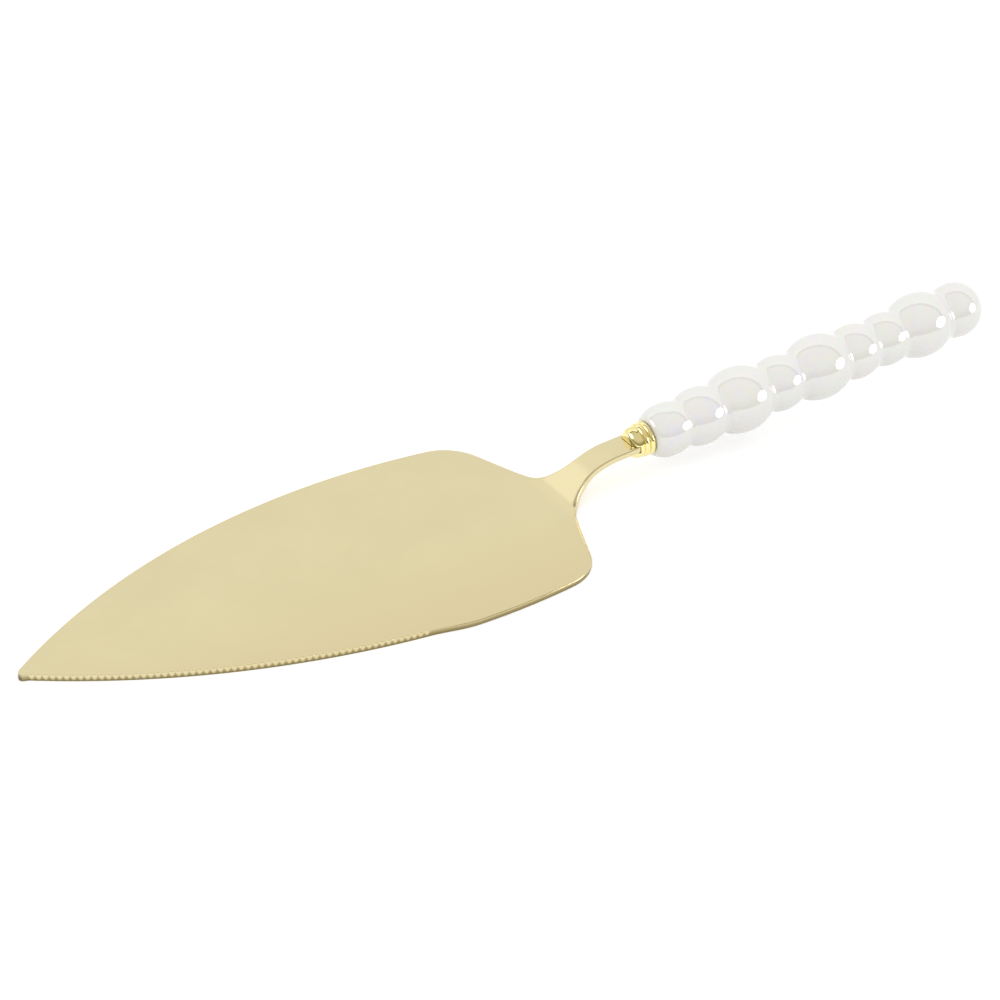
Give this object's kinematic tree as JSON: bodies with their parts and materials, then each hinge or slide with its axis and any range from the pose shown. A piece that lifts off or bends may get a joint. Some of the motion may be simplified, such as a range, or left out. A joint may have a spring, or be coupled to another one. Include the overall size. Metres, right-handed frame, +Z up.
{
  "type": "cake server",
  "caption": "Cake server with a flat leaf-shaped blade, one fluted edge, an upswept neck, a slotted ferrule and a straight handle of fused round ceramic beads.",
  "frame": {"origin": "on the blade's flat underside, on its centre line, under its widest section", "axes": "+X from the point towards the handle, +Z up from the underside when the blade lies flat; the fluted edge is on -Y"},
  "size_m": [0.2696, 0.0708, 0.0246],
  "materials": {
    "blade": "stainless steel with a pale gold coating, fine satin",
    "ferrule": "polished gold plating",
    "handle": "white pearl lustre glaze, glossy and faintly iridescent",
    "filler": "hardened adhesive filler, hidden in the bore"
  },
  "bodies": {
    "root": {"blade": "blade", "ferrule": "ferrule", "handle": "handle", "filler": "filler"}
  },
  "joints": []
}
